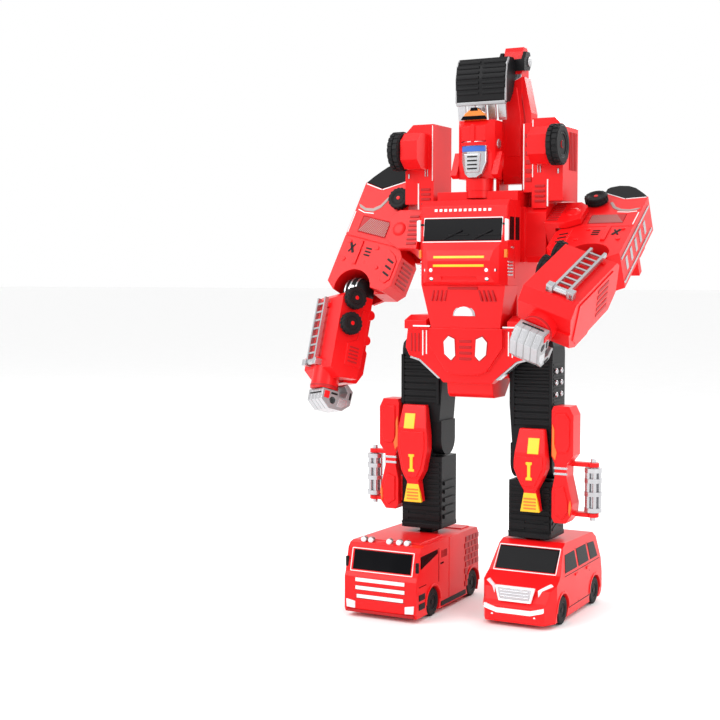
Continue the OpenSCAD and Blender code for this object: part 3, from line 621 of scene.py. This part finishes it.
for s, n in SIDES:
    arm = f"arm_{n}"
    where = arm_frame(s)
    # The swoosh takes the darker, reddish silver, which is painted shade.
    swoosh = Piece(f"arm_swoosh_{n}", arm, PAINTED_SHADE_WARM_SILVER, "silver_plastic", where)
    swoosh.prism("Y", [(1.2, -17.0), (3.4, -19.6), (8.4, -21.2), (15.4, -20.4), (20.6, -16.2), (24.6, -8.4),
                       (23.0, -7.0), (19.2, -14.2), (14.2, -18.0), (8.2, -19.0), (3.4, -17.4)], -0.55, 0.6)
    swoosh.done(0.3)
    line = Piece(f"arm_line_{n}", arm, WHITE, "white_paint", where)
    for a, b in (((2.6, -21.4), (8.4, -22.6)), ((8.4, -22.6), (16.2, -21.6)), ((1.0, -23.2), (1.0, -40)),
                 ((15.8, -2.6), (32.6, 7.4)), ((1.0, -1.0), (15.0, -2.6))):
        line.prism("Y", bar(a, b, 0.7), -0.35, 0.6)
    line.done(0.1)
    # The base under the grille takes the darker red, which is painted shade.
    under = Piece(f"arm_grille_base_{n}", arm, PAINTED_SHADE_RED, "red_plastic", where)
    under.box((8.9, -0.1, -37.4), (32.6, 0.6, -25.2))
    under.done(0.2)
    # The grille bars take the darker, reddish silver, which is painted shade.
    hatch = Piece(f"arm_grille_{n}", arm, PAINTED_SHADE_WARM_SILVER, "silver_plastic", where)
    for k in range(15):
        x = 9.4 + k * 1.55
        run = min(6.5, 32.2 - x)
        hatch.prism("Y", bar((x, -36.8), (x + run, -36.8 + run * 1.7), 0.5), -0.35, 0.4)
    hatch.done(0.1)
    ridge = Piece(f"arm_ridge_{n}", arm, RED, "red_plastic", where)
    ridge.box((14.6, -1.1, -62), (17.4, 0.6, -43.4))
    ridge.prism("Y", [(40.5, -45), (46.5, -48), (49.5, -52), (49.5, -66), (46, -70), (40.5, -68)], -0.8, 0.6)
    for x, z in ((6, -46), (30, -46), (6, -60), (35, -60)):
        ridge.prism("Y", circle(1.6, x, z, 16), -0.7, 0.6)
    ridge.done(0.3)
    slots = Piece(f"arm_slots_{n}", arm, SATIN, "black_plastic", where)
    for a, b, wide in (((7.4, -47), (11.6, -54), 2.0), ((11.4, -47), (7.6, -54), 1.2),
                       ((21, -48), (26, -48), 1.2), ((21, -50.6), (26, -50.6), 1.2),
                       ((21, -53.2), (26, -53.2), 1.2), ((42, -52), (47.6, -54), 1.6),
                       ((42, -57), (47.6, -59), 1.6), ((42, -62), (47.6, -64), 1.6)):
        slots.prism("Y", bar(a, b, wide), -0.95 if a[0] > 40 else -0.3, 0.6)
    slots.done(0.1)
    rail = Piece(f"arm_rails_{n}", arm, SILVER, "silver_plastic", where)
    for y in (4.0, 21.0):
        rail.box((-0.9, y, -78.5), (0.5, y + 1.6, -5))
    for k in range(5):
        rail.box((-0.7, 8.5, -22 - k * 12), (0.5, 17.5, -18 - k * 12))
    rail.done(0.2)
    # The inner tabs take the darker red, which is painted shade.
    tabs = Piece(f"arm_inner_{n}", arm, PAINTED_SHADE_RED, "red_plastic", where)
    for k in range(6):
        tabs.box((4 + k * 5.6, 25.6, -70), (7 + k * 5.6, 26.6, -34))
        tabs.box((51.4, 5, -50 - k * 3.2), (52.5, 21, -51.6 - k * 3.2))
    tabs.done(0.25)
    pin = Piece(f"arm_pivot_caps_{n}", f"yoke_{n}", RED, "red_plastic", yoke_frame(s))
    pin.lathe("Y", (0, -18.0, 0), [(2.2, -1.0), (4.6, -0.8), (5.2, 0.0), (5.2, 0.4)], 28)
    pin.lathe("Y", (0, 17.0, 0), [(5.2, -0.4), (5.2, 0.0), (4.6, 0.8), (2.2, 1.0)], 28)
    pin.done(0.0)
    # The yoke's ribs take the darker red, which is painted shade.
    yoke_ribs = Piece(f"yoke_ribs_{n}", f"yoke_{n}", PAINTED_SHADE_RED, "red_plastic", yoke_frame(s))
    for k in range(7):
        yoke_ribs.box((7.4, -18.7, -12 + k * 3.4), (14.8, -17.6, -10.4 + k * 3.4))
    yoke_ribs.done(0.2)

    # elbow, seen through the opening of the arm
    ball = Piece(f"elbow_strips_{n}", f"elbow_{n}", SILVER, "silver_plastic", ball_frame(s))
    for x in (-6, -1.5, 3):
        r = (11.5 ** 2 - x ** 2) ** 0.5
        ball.lathe("X", (x, 0, 0), [(r - 0.8, -0.6), (r + 0.2, -0.6), (r + 0.2, 0.6), (r - 0.8, 0.6)], 40)
    ball.lathe("Y", (0, -11.2, 0), [(1.2, -0.7), (2.8, -0.5), (3.0, 0.6), (3.0, 1.0)], 24)
    ball.done(0.1)

    # forearm
    fore = f"forearm_{n}"
    where = fore_frame(s)
    panel = Piece(f"fore_panels_{n}", fore, RED, "red_plastic", where)
    panel.prism("Y", [(17.6, -16), (23.6, -16), (23.6, -58), (10, -58), (10, -42), (17.6, -38)], -0.8, 0.6)
    panel.prism("X", [(15, -20), (35.6, -20), (35.6, -38), (15, -38)], 33.6, 34.7)
    panel.prism("Y", [(3, -14), (31, -14), (31, -38), (33, -42), (33, -58), (27, -63), (3, -58)], 36.6, 37.7)
    panel.done(0.35)
    # The forearm vents take the darker red, which is painted shade.
    dark = Piece(f"fore_vents_{n}", fore, PAINTED_SHADE_RED, "red_plastic", where)
    for k in range(5):
        dark.box((12, -1.1, -45 - k * 2.6), (20, -0.6, -43.8 - k * 2.6))
        dark.box((6 + k * 4.6, 37.4, -34), (8.6 + k * 4.6, 38.0, -20))
    dark.prism("Y", circle(2.2, 26, -54, 18), 12.4, 13.3)
    dark.done(0.1)
    trims = Piece(f"fore_trims_{n}", fore, SILVER, "silver_plastic", where)
    for y in (15.6, 30.0):
        trims.box((-5.4, y - 1.4, -60), (1.0, y + 3.0, -55.5))
    trims.box((2, 12.6, -61.6), (20, 13.4, -15))
    trims.done(0.2)
    # The wrist ring takes the darker red, which is painted shade.
    wrist = Piece(f"wrist_detail_{n}", fore, PAINTED_SHADE_RED, "red_plastic", where)
    wrist_x = 8 if s < 0 else 20
    wrist.lathe("Z", (wrist_x, 18, 0), [(9.6, -75.6), (10.3, -75.2), (10.3, -73.4), (9.6, -73)], 36)
    wrist.done(0.2)

    # fist: finger ridges, and dark slots and a red square on each side
    hand = f"fist_{n}"
    where = where @ move(wrist_x - 20, 0, 0)
    fingers = Piece(f"fist_fingers_{n}", hand, SILVER, "silver_plastic", where)
    for k in range(4):
        y = 8.4 + k * 4.9
        fingers.prism("Y", [(13.9, -77.2), (13.9, -84.42), (20.97, -90.06), (32.03, -89.68),
                            (38.06, -84.42), (38.62, -74.4), (37.0, -74.4), (36.6, -83.6),
                            (31.4, -88), (21.4, -88.2), (15.4, -83.6), (15.4, -77.2)], y, y + 4.3)
    for low, high in ((7.92, 8.6), (27.4, 28.08)):
        fingers.prism("Y", [(28.4, -81), (34.6, -81), (36.6, -84), (31.6, -87.6), (26.8, -87.6)], low, high)
    fingers.done(0.6, 3)
    square = Piece(f"fist_square_{n}", hand, RED, "red_plastic", where)
    for y in (7.4, 27.4):
        square.box((15.4, y, -83.2), (19.6, y + 1.2, -78.0))
    square.done(0.4)
    cuts = Piece(f"fist_slots_{n}", hand, SATIN, "black_plastic", where)
    for y in (7.7, 27.5):
        cuts.box((21.0, y, -79.6), (26.2, y + 0.8, -78.2))
        cuts.box((36.2, y, -80.4), (37.6, y + 0.8, -75.2))
    cuts.box((13.55, 10.5, -80), (14.2, 25.5, -79))
    cuts.done(0.1)

# ---------- legs ----------

for s, n in SIDES:
    where = side(s)
    knee = 118 if s < 0 else 106
    thigh, shin = f"thigh_{n}", f"shin_{n}"
    lines = Piece(f"thigh_ribs_{n}", thigh, SATIN, "black_plastic", where)
    top = 178 if s < 0 else 176
    count = int((top - knee - 26) / 2.4)
    for k in range(count):
        z = knee + 26 + k * 2.4
        lines.box((-57.0, -1.6, z), (-56.2, 20.6, z + 1.2))
        lines.box((-54.6, -4.3, z), (-28.4, -2.6, z + 1.2))
    lines.done(0.2)
    edges = Piece(f"thigh_edges_{n}", thigh, SATIN, "black_plastic", where)
    for x in (-56.9, -29.6):
        edges.box((x, -4.6, knee + 25), (x + 2.2, -2.4, top))
    edges.done(0.3)
    studs = Piece(f"thigh_studs_{n}", thigh, SILVER, "silver_plastic", where)
    for z in (153, 161, 169):
        for y in (3.0, 13.0):
            studs.lathe("X", (-57.2, y, z), [(0.8, -1.2), (1.7, -0.7), (1.9, 0.0), (1.9, 0.9)], 18)
    studs.done(0.0)
    grooves = Piece(f"shin_texture_{n}", shin, SATIN, "black_plastic", where)
    for k in range(int((knee - 14 - 60) / 4)):
        z = 59.4 + k * 4
        grooves.prism("X", [(-1, z), (9, z + 3), (20, z), (20, z + 1.6), (9, z + 4.6), (-1, z + 1.6)],
                      -57.1, -56.2)
        grooves.box((-55.4, -3.8, z), (-51.4, -2.6, z + 2.2))
        grooves.box((-37.4, -3.8, z), (-27, -2.6, z + 2.2))
    grooves.done(0.25)
    base = Piece(f"shin_base_{n}", shin, SATIN, "black_plastic", where)
    base.prism("Z", [(-55.6, -5.6), (-26.4, -5.6), (-25.2, -3), (-25.2, 22.6), (-56.8, 22.6), (-56.8, -3)],
               54.2, 57.4)
    base.done(0.4)

    # knee shield
    cx = -44.2
    top_z = 142.5 if s < 0 else 130
    low_z = 111 if s < 0 else 103
    rim = Piece(f"shield_rim_{n}", shin, RED, "red_plastic", where)
    rim.prism("Y", [(cx - 9.4, top_z - 18.6), (cx - 9.6, top_z - 24), (cx - 9.6, low_z + 1), (cx - 7, 98),
                    (cx - 3.4, 91), (cx + 3.4, 91), (cx + 7, 98), (cx + 9.6, low_z + 1),
                    (cx + 9.6, top_z - 24), (cx + 9.4, top_z - 18.6)], -13.9, -12.4)
    rim.done(0.5, 3)
    yellow = Piece(f"shield_yellow_{n}", shin, YELLOW, "yellow_paint", where)
    lean = 0.249    # the crowned front slopes back by this much above its flat part
    patch = [(cx - 6.4, top_z - 16.6), (cx + 1.6, top_z - 16.6), (cx + 1.6, top_z - 6), (cx - 6.4, top_z - 6)]
    front = [(x, -13.5 + (z - top_z + 16) * lean, z) for x, z in patch]
    yellow.solid([front, [(x, y + 1.4, z) for x, y, z in front]])
    yellow.prism("Y", [(cx - 2.2, 95.4), (cx + 2.2, 95.4), (cx + 2.2, 97), (cx + 1.1, 97.6),
                       (cx + 1.1, 105.6), (cx + 2.2, 106.2), (cx + 2.2, 107.8), (cx - 2.2, 107.8),
                       (cx - 2.2, 106.2), (cx - 1.1, 105.6), (cx - 1.1, 97.6), (cx - 2.2, 97)], -14.5, -13.6)
    yellow.prism("Y", [(cx - 4.4, 86.4), (cx + 4.4, 86.4), (cx + 6.9, 73.4), (cx - 6.9, 73.4)], -11.9, -9.6)
    yellow.done(0.25)
    # The yellow ribs are drawn orange: painted shade.
    foot_ribs = Piece(f"shield_foot_ribs_{n}", shin, PAINTED_LIGHT_ORANGE, "yellow_paint", where)
    for k in range(4):
        foot_ribs.box((cx - 4.4, -12.3, 75.4 + k * 2.2), (cx + 4.4, -11.6, 76.3 + k * 2.2))
    foot_ribs.done(0.1)

    # side pod, with a painted highlight in orange along its edges
    pod = Piece(f"pod_panels_{n}", shin, RED, "red_plastic", where)
    pod.prism("Y", [(-60.4, 141), (-60.4, 118), (-62.4, 114.6), (-68.6, 114.6), (-70.6, 119),
                    (-70.6, 137), (-68, 141)], -8.2, -6.4)
    pod.prism("Y", [(-60.4, 90), (-60.4, 73), (-66, 69.4), (-69.8, 75), (-69.4, 82), (-66.6, 92)], -8.2, -6.4)
    pod.done(0.5, 3)
    # The orange strips along the pod's edges are a painted highlight on the lit red.
    edge_highlight = Piece(f"pod_edge_highlight_{n}", shin, PAINTED_LIGHT_ORANGE, "orange_paint", where)
    edge_highlight.prism("Y", [(-58.2, 134), (-59.9, 130), (-59.9, 120), (-61.6, 114.6),
                      (-60.4, 109.4), (-58.0, 112.4)], -7.6, -6.6)
    edge_highlight.prism("Y", [(-70.9, 71.6), (-72.2, 78), (-71.4, 83), (-70.4, 80), (-70.2, 75)], -7.7, -6.6)
    edge_highlight.done(0.2)
    belt = Piece(f"pod_belt_{n}", shin, SILVER, "silver_plastic", where)
    for z in (99.4, 103.2):
        belt.box((-68.9, -7.4, z), (-59.4, -6.4, z + 1.6))
    belt.done(0.2)

# ---------- foot vehicles ----------

ARCH_OUT = 12.6
ARCH_IN = 11.1


def arch(axle):
    """The outline of a wheel arch round an axle at this y."""
    turns = [pi * i / 16 for i in range(17)]
    outer = [(axle + ARCH_OUT * cos(a), FOOT_WHEEL_R + ARCH_OUT * sin(a)) for a in turns]
    inner = [(axle + ARCH_IN * cos(a), FOOT_WHEEL_R + ARCH_IN * sin(a)) for a in reversed(turns)]
    return outer + inner


win = Piece("truck_side_windows", TRUCK, BLACK, "black_panel")
doors = Piece("truck_lines", TRUCK, BLACK, "black_panel")
steps = Piece("truck_steps", TRUCK, SATIN, "black_plastic")
# The blocks on the truck's rear sides take the darker red, which is painted shade.
brick = Piece("truck_rear_texture", TRUCK, PAINTED_SHADE_RED, "red_plastic")
arches = Piece("truck_arches", TRUCK, RED, "red_plastic")
for s in (-1, 1):
    def span(a, b):
        return sorted((TRUCK_X + s * (TRUCK_HALF + a), TRUCK_X + s * (TRUCK_HALF + b)))
    x0, x1 = span(-0.7, 0.15)
    win.prism("X", [(-55.2, 35.9), (-55.2, 44.2), (-28.6, 44.7), (-28.6, 42.2)], x0, x1)
    x0, x1 = span(-0.4, 0.12)
    doors.prism("X", bar((-26.6, 45.5), (-26.6, 22), 0.5), x0, x1)
    doors.prism("X", bar((-58.6, 24), (-47, 24), 0.5), x0, x1)
    doors.box((x0, -24, 33.6), (x1, -18.6, 34.8))
    for k in range(5):
        doors.box((x0, -22 + k * 2, 38), (x1, -21.2 + k * 2, 43))
    x0, x1 = span(-0.8, 0.5)
    for z in (14.6, 8.4):
        steps.box((x0, -58.6, z), (x1, -49.4, z + 4.2))
    steps.box((x0, -23, 4), (x1, 19.5, 7.4))
    for row in range(8):
        for k in range(4):
            y = 17.6 + k * 6.1 + (row % 2) * 1.6
            if row < 3 and 20 < y < 44:
                continue
            brick.box((x0, y, 9.6 + row * 4.6), (x1, y + 5.3, 13.4 + row * 4.6))
    x0, x1 = span(-1.0, 0.7)
    for axle in TRUCK_AXLES:
        arches.prism("X", arch(axle), x0, x1)
for piece, width in ((win, 0.1), (doors, 0.05), (steps, 0.3), (brick, 0.4), (arches, 0.3)):
    piece.done(width)

truck_lamps = Piece("truck_lamps", TRUCK, LENS, "lamp_lens")
truck_pods = Piece("truck_lamp_pods", TRUCK, SILVER, "silver_plastic")
for x in (-18, -12.5, 1.5, 9, 15):
    truck_pods.lathe("Y", (TRUCK_X + x, -52.6, 51.9), [(1.7, 0), (2.2, 0.4), (2.2, 3.0), (1.2, 5.0)], 24)
    truck_lamps.lathe("Y", (TRUCK_X + x, -53.2, 51.9), [(0.8, -0.4), (1.7, 0.0), (1.9, 0.4), (1.9, 1.2)], 24)
for s in (-1, 1):
    truck_lamps.prism("Y", [(TRUCK_X + s * 19, 6.2), (TRUCK_X + s * 25.4, 6.6), (TRUCK_X + s * 25.8, 12.2),
                            (TRUCK_X + s * 19, 11)], -63.6, -62.4)
truck_lamps.done(0.3)
truck_pods.done(0.2)
truck_white = Piece("truck_stripes", TRUCK, WHITE, "white_paint")
for z, half in ((24.9, 18.6), (19.4, 18.6), (13.6, 17.6)):
    truck_white.box((TRUCK_X - half, -63.5, z), (TRUCK_X + half, -62.4, z + 2.5))
for a, b in (((-23.4, 31.8), (23.4, 31.8)), ((-23.4, 46.8), (23.4, 46.8)), ((-23.4, 31.8), (-23.4, 46.8)),
             ((23.4, 31.8), (23.4, 46.8))):
    levels = [(p[0], p[1]) for p in bar(a, b, 0.5)]
    front = [(TRUCK_X + x, -61.3 + (z - 31.8) * 0.262 - 0.5, z) for x, z in levels]
    back = [(x, y + 1.4, z) for x, y, z in front]
    truck_white.solid([front, back])
truck_white.done(0.15)
# The grille bars and the bumper bar take the darker red, which is painted shade.
truck_grille = Piece("truck_grille", TRUCK, PAINTED_SHADE_RED, "red_plastic")
for k in range(5):
    truck_grille.box((TRUCK_X - 19.6, -63.1, 12.9 + k * 3), (TRUCK_X + 19.6, -62.4, 13.4 + k * 3))
truck_grille.box((TRUCK_X - 25.6, -63.5, 3.6), (TRUCK_X + 25.6, -62.2, 5.4))
truck_grille.done(0.2)
truck_mirrors = Piece("truck_mirrors", TRUCK, SATIN, "black_plastic")
for s in (-1, 1):
    x0, x1 = sorted((TRUCK_X + s * 25.6, TRUCK_X + s * 27.6))
    truck_mirrors.box((x0, -60.8, 34), (x1, -58.6, 41))
truck_mirrors.done(0.4)
truck_top = Piece("truck_roof_panel", TRUCK, RED, "red_plastic")
truck_top.box((TRUCK_X - 22, -46, 50.2), (TRUCK_X + 22, -9, 51.4))
truck_top.box((TRUCK_X - 22, 24, 49.2), (TRUCK_X + 22, 38, 50.5))
truck_top.done(0.4)

win = Piece("suv_side_windows", VAN, BLACK, "black_panel")
doors = Piece("suv_lines", VAN, BLACK, "black_panel")
arches = Piece("suv_arches", VAN, RED, "red_plastic")
handles = Piece("suv_handles", VAN, RED, "red_plastic")


def suv_x(z, proud):
    """How far the van's side is from its middle at height z."""
    return VAN_HALF - (max(0, z - 31) * 3.6 / 22) + proud


def suv_side(piece, outline, s, proud, deep=0.8):
    """A shape that follows the van's side, which leans in above the waist."""
    outer = [(VAN_X + s * suv_x(z, proud), y, z) for y, z in outline]
    inner = [(VAN_X + s * suv_x(z, proud - deep - 0.2), y, z) for y, z in outline]
    piece.solid([outer, inner])


for s in (-1, 1):
    suv_side(win, [(-7.2, 45.2), (11.8, 45.4), (13.0, 33.6), (-11.6, 33.6)], s, 0.25)
    suv_side(win, [(15.4, 45.6), (35.6, 45.6), (37.4, 33.6), (16.4, 33.6)], s, 0.25)
    suv_side(win, [(39.4, 45.4), (52.6, 44.6), (56.8, 33.6), (41.2, 33.6)], s, 0.25)
    for a, b in (((14.2, 46.6), (14.8, 9)), ((37.8, 46.6), (38.8, 26)), ((-13, 31.6), (60, 31.6)),
                 ((-4, 9), (38, 9))):
        suv_side(doors, bar(a, b, 0.5), s, 0.12, 0.4)
    suv_side(handles, [(7.4, 28.6), (12.4, 28.6), (12.4, 30.2), (7.4, 30.2)], s, 0.9, 1.0)
    suv_side(handles, [(31.4, 28.6), (36.4, 28.6), (36.4, 30.2), (31.4, 30.2)], s, 0.9, 1.0)
    for axle in VAN_AXLES:
        suv_side(arches, arch(axle), s, 0.6, 1.2)
for piece, width in ((win, 0.1), (doors, 0.05), (arches, 0.3), (handles, 0.3)):
    piece.done(width)

suv_silver = Piece("suv_grille", VAN, SILVER, "silver_plastic")


def suv_front(piece, outline, proud, deep=2.0):
    """A shape that follows the van's bowed nose."""
    front = [(VAN_X + x, -37.9 + max(0, abs(x) - 13.5) * 0.72 - proud, z) for x, z in outline]
    piece.solid([front, [(x, y + deep, z) for x, y, z in front]])


grille_half = 12.6
grille_low = 18.6
grille_high = 25.6
suv_front(suv_silver, [(-grille_half, grille_high), (grille_half, grille_high),
                       (grille_half - 2.6, grille_low), (2.6 - grille_half, grille_low)], 0.55)
for k in range(3):
    suv_silver.box((VAN_X - grille_half + 2.4, -39.0, grille_low + 1.2 + k * 2),
                   (VAN_X + grille_half - 2.4, -38.2, grille_low + 2.1 + k * 2))
suv_silver.done(0.3)
suv_white = Piece("suv_stripe", VAN, WHITE, "white_paint")
for a, b, width in (((-13.4, 26.6), (13.4, 26.6), 1.5), ((-10.6, 17.8), (10.6, 17.8), 1.5),
                    ((-13.4, 27.2), (-10.6, 17.2), 1.4), ((13.4, 27.2), (10.6, 17.2), 1.4)):
    suv_front(suv_white, bar(a, b, width), 0.75)
suv_white.prism("Y", [(VAN_X - 21, 12.0), (VAN_X - 12, 9.4), (VAN_X + 12, 9.4), (VAN_X + 21, 12.0),
                      (VAN_X + 21, 15.0), (VAN_X + 12, 12.6), (VAN_X - 12, 12.6), (VAN_X - 21, 15.0)],
                -41.0, -38.6)
for a, b in (((-22.4, 33.9), (22.4, 33.9)), ((-21.8, 49.4), (21.8, 49.4)), ((-22.4, 33.9), (-21.8, 49.4)),
             ((22.4, 33.9), (21.8, 49.4))):
    levels = bar(a, b, 0.5)
    front = [(VAN_X + x, -20.4 + (z - 33.9) * 0.72 - 0.4, z) for x, z in levels]
    suv_white.solid([front, [(x, y + 1.6, z) for x, y, z in front]])
suv_white.done(0.15)
suv_lamps = Piece("suv_headlights", VAN, LENS, "lamp_lens")
for s in (-1, 1):
    shape = [(15.2, 25.6), (21.8, 29.4), (25.0, 27.4), (23.4, 19.6), (15.6, 19.2)]
    front = [(VAN_X + s * x, -36.2 + max(0, x - 14) * 0.72, z) for x, z in shape]
    suv_lamps.solid([front, [(x, y + 3, z) for x, y, z in front]])
suv_lamps.done(0.5, 3)
suv_fog = Piece("suv_fog_lamps", VAN, LENS, "lamp_lens")
for s in (-1, 1):
    suv_fog.lathe("Y", (VAN_X + s * 15, -40.4, 7.6), [(0.8, -0.4), (1.8, 0), (2.0, 0.5), (2.0, 3)], 20)
suv_fog.done(0.0)

# ---------- back ----------

back = Piece("back_ridges", "torso", RED, "red_plastic")
for x in (-20, -12, 12, 20):
    back.box((x - 1.4, 37.4, 250), (x + 1.4, 39.3, 282))
back.done(0.4)
back_vents = Piece("back_vents", "torso", SATIN, "black_plastic")
for k in range(7):
    back_vents.box((-6.6, 37.3, 252 + k * 4), (6.6, 38.0, 253.8 + k * 4))
back_vents.done(0.15)


# ---------- floor, light and camera ----------

floor_bm = bmesh.new()
bmesh.ops.create_grid(floor_bm, x_segments=8, y_segments=8, size=20)
floor_mesh = bpy.data.meshes.new("floor")
floor_bm.to_mesh(floor_mesh)
floor_bm.free()
floor = bpy.data.objects.new("floor", floor_mesh)
floor_mesh.materials.append(FLOOR)
scene.collection.objects.link(floor)

world = bpy.data.worlds.new("world")
scene.world = world
world.use_nodes = True
world.node_tree.nodes["Background"].inputs["Color"].default_value = (1, 1, 1, 1)
world.node_tree.nodes["Background"].inputs["Strength"].default_value = 1.0


def area(name, at, target, size, power):
    data = bpy.data.lights.new(name, "AREA")
    data.shape = "RECTANGLE"
    data.size, data.size_y = size
    data.energy = power
    obj = bpy.data.objects.new(name, data)
    scene.collection.objects.link(obj)
    obj.location = at
    obj.rotation_euler = (Vector(target) - Vector(at)).to_track_quat("-Z", "Y").to_euler()


area("key", (-0.7, -1.0, 1.1), (0, 0, 0.2), (0.9, 1.1), 13)
area("fill", (1.3, -0.7, 0.7), (0, 0, 0.2), (0.6, 0.9), 6)
area("rim", (0.2, 1.1, 0.9), (0, 0, 0.25), (0.9, 0.5), 8)

cam_data = bpy.data.cameras.new("camera")
cam_data.lens = 68.4    # millimetres, for a sensor 36 wide
cam_data.sensor_width = 36
cam_data.clip_end = 50
camera = bpy.data.objects.new("camera", cam_data)
scene.collection.objects.link(camera)
CAMERA_AT = (375.6, -880.1, 234.4)    # from the reference point, in millimetres
CAMERA_DOWN = 3.56    # degrees below level
CAMERA_TURN = 28.02    # degrees to the left of +Y
camera.location = ((CAMERA_AT[0] + PLACE_X) / 1000, (CAMERA_AT[1] + PLACE_Y) / 1000, CAMERA_AT[2] / 1000)
camera.rotation_euler = (radians(90 - CAMERA_DOWN), 0, radians(CAMERA_TURN))
scene.camera = camera
